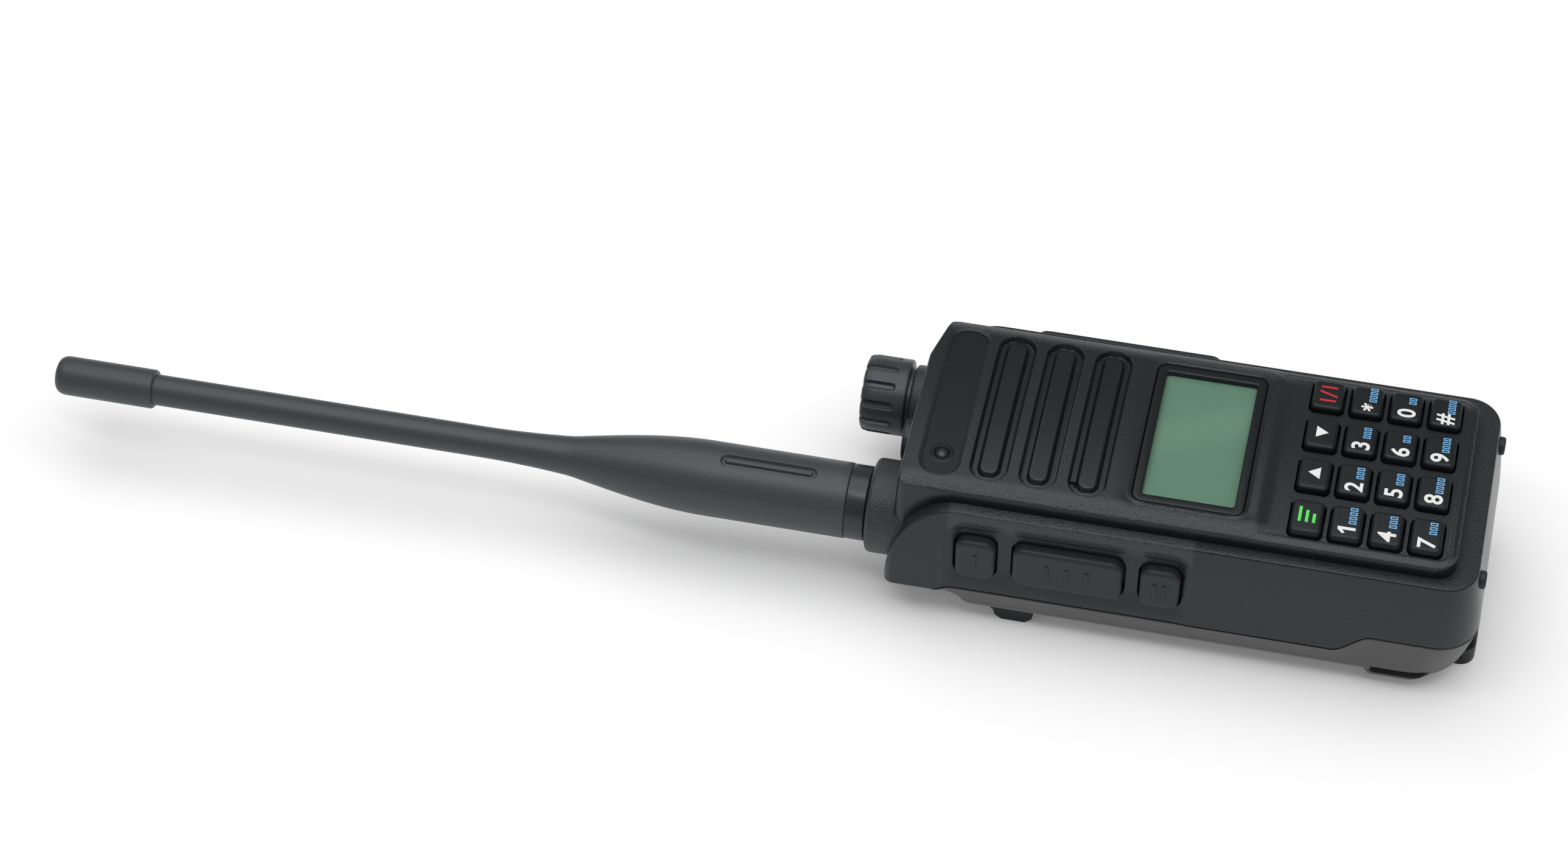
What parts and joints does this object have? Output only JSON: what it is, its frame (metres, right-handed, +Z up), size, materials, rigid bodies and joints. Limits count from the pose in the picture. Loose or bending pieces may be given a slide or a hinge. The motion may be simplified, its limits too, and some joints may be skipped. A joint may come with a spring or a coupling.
{
  "type": "handheld radio transceiver",
  "caption": "Handheld radio transceiver with crowned front, display, keypad, side talk button, volume knob, whip antenna, clip-on battery and sprung belt clip.",
  "frame": {"origin": "on the surface that the radio lies on, under the middle of the overall box", "axes": "+X from the antenna's tip towards the keypad end, +Y towards the accessory cover, +Z up out of the front face"},
  "size_m": [0.2944, 0.054, 0.0388],
  "materials": {
    "case_plastic": "fine leather-like texture",
    "gloss_black": "smooth",
    "key_rubber": "satin",
    "antenna_rubber": "satin",
    "soft_black": "matt",
    "clear": "clear",
    "display_green": "satin",
    "board_green": "satin",
    "steel": "satin",
    "alloy": "cast",
    "brass": "plated"
  },
  "bodies": {
    "case": {"front_case": "case_plastic", "battery_shell": "case_plastic", "clip_bracket": "case_plastic", "battery_lid": "case_plastic", "indicator_window": "gloss_black", "display_bezel": "gloss_black", "keypad_mat": "key_rubber", "base_bumpers": "soft_black", "speaker": "soft_black", "accessory_jack": "soft_black", "display_window": "clear", "lamp_lens": "clear", "indicator_light": "clear", "display_module": "display_green", "main_board": "board_green", "side_switches": "board_green", "case_screws": "steel", "clip_screws": "steel", "clip_pin": "steel", "clip_spring": "steel", "shield_can": "steel", "rear_chassis": "alloy", "volume_control": "alloy", "microphone": "alloy", "battery_cells": "alloy", "antenna_socket": "brass", "case_contacts": "brass", "battery_contacts": "brass"},
    "knob": {"volume_knob": "case_plastic", "volume_shaft": "steel"},
    "antenna": {"antenna_ferrule": "antenna_rubber", "antenna_core": "brass", "antenna_sheath": "antenna_rubber", "antenna_cap": "antenna_rubber"},
    "belt_clip": {"belt_clip": "case_plastic"},
    "battery_latch": {"battery_latch": "case_plastic"},
    "accessory_cover": {"accessory_cover": "case_plastic"},
    "key_function": {"key_function": "key_rubber"},
    "key_up": {"key_up": "key_rubber"},
    "key_down": {"key_down": "key_rubber"},
    "key_band": {"key_band": "key_rubber"},
    "key_1": {"key_1": "key_rubber"},
    "key_2": {"key_2": "key_rubber"},
    "key_3": {"key_3": "key_rubber"},
    "key_star": {"key_star": "key_rubber"},
    "key_4": {"key_4": "key_rubber"},
    "key_5": {"key_5": "key_rubber"},
    "key_6": {"key_6": "key_rubber"},
    "key_0": {"key_0": "key_rubber"},
    "key_7": {"key_7": "key_rubber"},
    "key_8": {"key_8": "key_rubber"},
    "key_9": {"key_9": "key_rubber"},
    "key_hash": {"key_hash": "key_rubber"},
    "upper_side_key": {"upper_side_key": "key_rubber"},
    "ptt_button": {"ptt_button": "key_rubber"},
    "lower_side_key": {"lower_side_key": "key_rubber"}
  },
  "joints": [
    {"name": "key_function_press", "type": "slide", "parent": "case", "child": "key_function", "axis": [0, 0, -1], "range_m": [0, 0.0006], "stiffness_N_per_m": 1500},
    {"name": "key_up_press", "type": "slide", "parent": "case", "child": "key_up", "axis": [0, 0, -1], "range_m": [0, 0.0006], "stiffness_N_per_m": 1500},
    {"name": "key_down_press", "type": "slide", "parent": "case", "child": "key_down", "axis": [0, 0, -1], "range_m": [0, 0.0006], "stiffness_N_per_m": 1500},
    {"name": "key_band_press", "type": "slide", "parent": "case", "child": "key_band", "axis": [0, 0, -1], "range_m": [0, 0.0006], "stiffness_N_per_m": 1500},
    {"name": "key_1_press", "type": "slide", "parent": "case", "child": "key_1", "axis": [0, 0, -1], "range_m": [0, 0.0006], "stiffness_N_per_m": 1500},
    {"name": "key_2_press", "type": "slide", "parent": "case", "child": "key_2", "axis": [0, 0, -1], "range_m": [0, 0.0006], "stiffness_N_per_m": 1500},
    {"name": "key_3_press", "type": "slide", "parent": "case", "child": "key_3", "axis": [0, 0, -1], "range_m": [0, 0.0006], "stiffness_N_per_m": 1500},
    {"name": "key_star_press", "type": "slide", "parent": "case", "child": "key_star", "axis": [0, 0, -1], "range_m": [0, 0.0006], "stiffness_N_per_m": 1500},
    {"name": "key_4_press", "type": "slide", "parent": "case", "child": "key_4", "axis": [0, 0, -1], "range_m": [0, 0.0006], "stiffness_N_per_m": 1500},
    {"name": "key_5_press", "type": "slide", "parent": "case", "child": "key_5", "axis": [0, 0, -1], "range_m": [0, 0.0006], "stiffness_N_per_m": 1500},
    {"name": "key_6_press", "type": "slide", "parent": "case", "child": "key_6", "axis": [0, 0, -1], "range_m": [0, 0.0006], "stiffness_N_per_m": 1500},
    {"name": "key_0_press", "type": "slide", "parent": "case", "child": "key_0", "axis": [0, 0, -1], "range_m": [0, 0.0006], "stiffness_N_per_m": 1500},
    {"name": "key_7_press", "type": "slide", "parent": "case", "child": "key_7", "axis": [0, 0, -1], "range_m": [0, 0.0006], "stiffness_N_per_m": 1500},
    {"name": "key_8_press", "type": "slide", "parent": "case", "child": "key_8", "axis": [0, 0, -1], "range_m": [0, 0.0006], "stiffness_N_per_m": 1500},
    {"name": "key_9_press", "type": "slide", "parent": "case", "child": "key_9", "axis": [0, 0, -1], "range_m": [0, 0.0006], "stiffness_N_per_m": 1500},
    {"name": "key_hash_press", "type": "slide", "parent": "case", "child": "key_hash", "axis": [0, 0, -1], "range_m": [0, 0.0006], "stiffness_N_per_m": 1500},
    {"name": "upper_side_key_press", "type": "slide", "parent": "case", "child": "upper_side_key", "axis": [0, 1, 0], "range_m": [0, 0.0008], "stiffness_N_per_m": 2000},
    {"name": "ptt_button_press", "type": "slide", "parent": "case", "child": "ptt_button", "axis": [0, 1, 0], "range_m": [0, 0.0008], "stiffness_N_per_m": 2000},
    {"name": "lower_side_key_press", "type": "slide", "parent": "case", "child": "lower_side_key", "axis": [0, 1, 0], "range_m": [0, 0.0008], "stiffness_N_per_m": 2000},
    {"name": "knob_turn", "type": "hinge", "parent": "case", "child": "knob", "pos_m": [0.02175, 0.015, 0.0194], "axis": [-1, 0, 0], "range_deg": [0, 300]},
    {"name": "antenna_screw", "type": "hinge", "parent": "case", "child": "antenna", "pos_m": [0.02175, -0.015, 0.0194], "axis": [-1, 0, 0], "continuous": true},
    {"name": "clip_hinge", "type": "hinge", "parent": "case", "child": "belt_clip", "pos_m": [0.05526, 0, 0.00215], "axis": [0, 1, 0], "range_deg": [0, 20], "stiffness_Nm_per_rad": 0.3, "springref_deg": -20.05},
    {"name": "latch_slide", "type": "slide", "parent": "case", "child": "battery_latch", "axis": [1, 0, 0], "range_m": [0, 0.0018], "stiffness_N_per_m": 600},
    {"name": "cover_hinge", "type": "hinge", "parent": "case", "child": "accessory_cover", "pos_m": [0.0494, 0.02615, 0.0254], "axis": [0, 0, 1], "range_deg": [0, 100]}
  ]
}
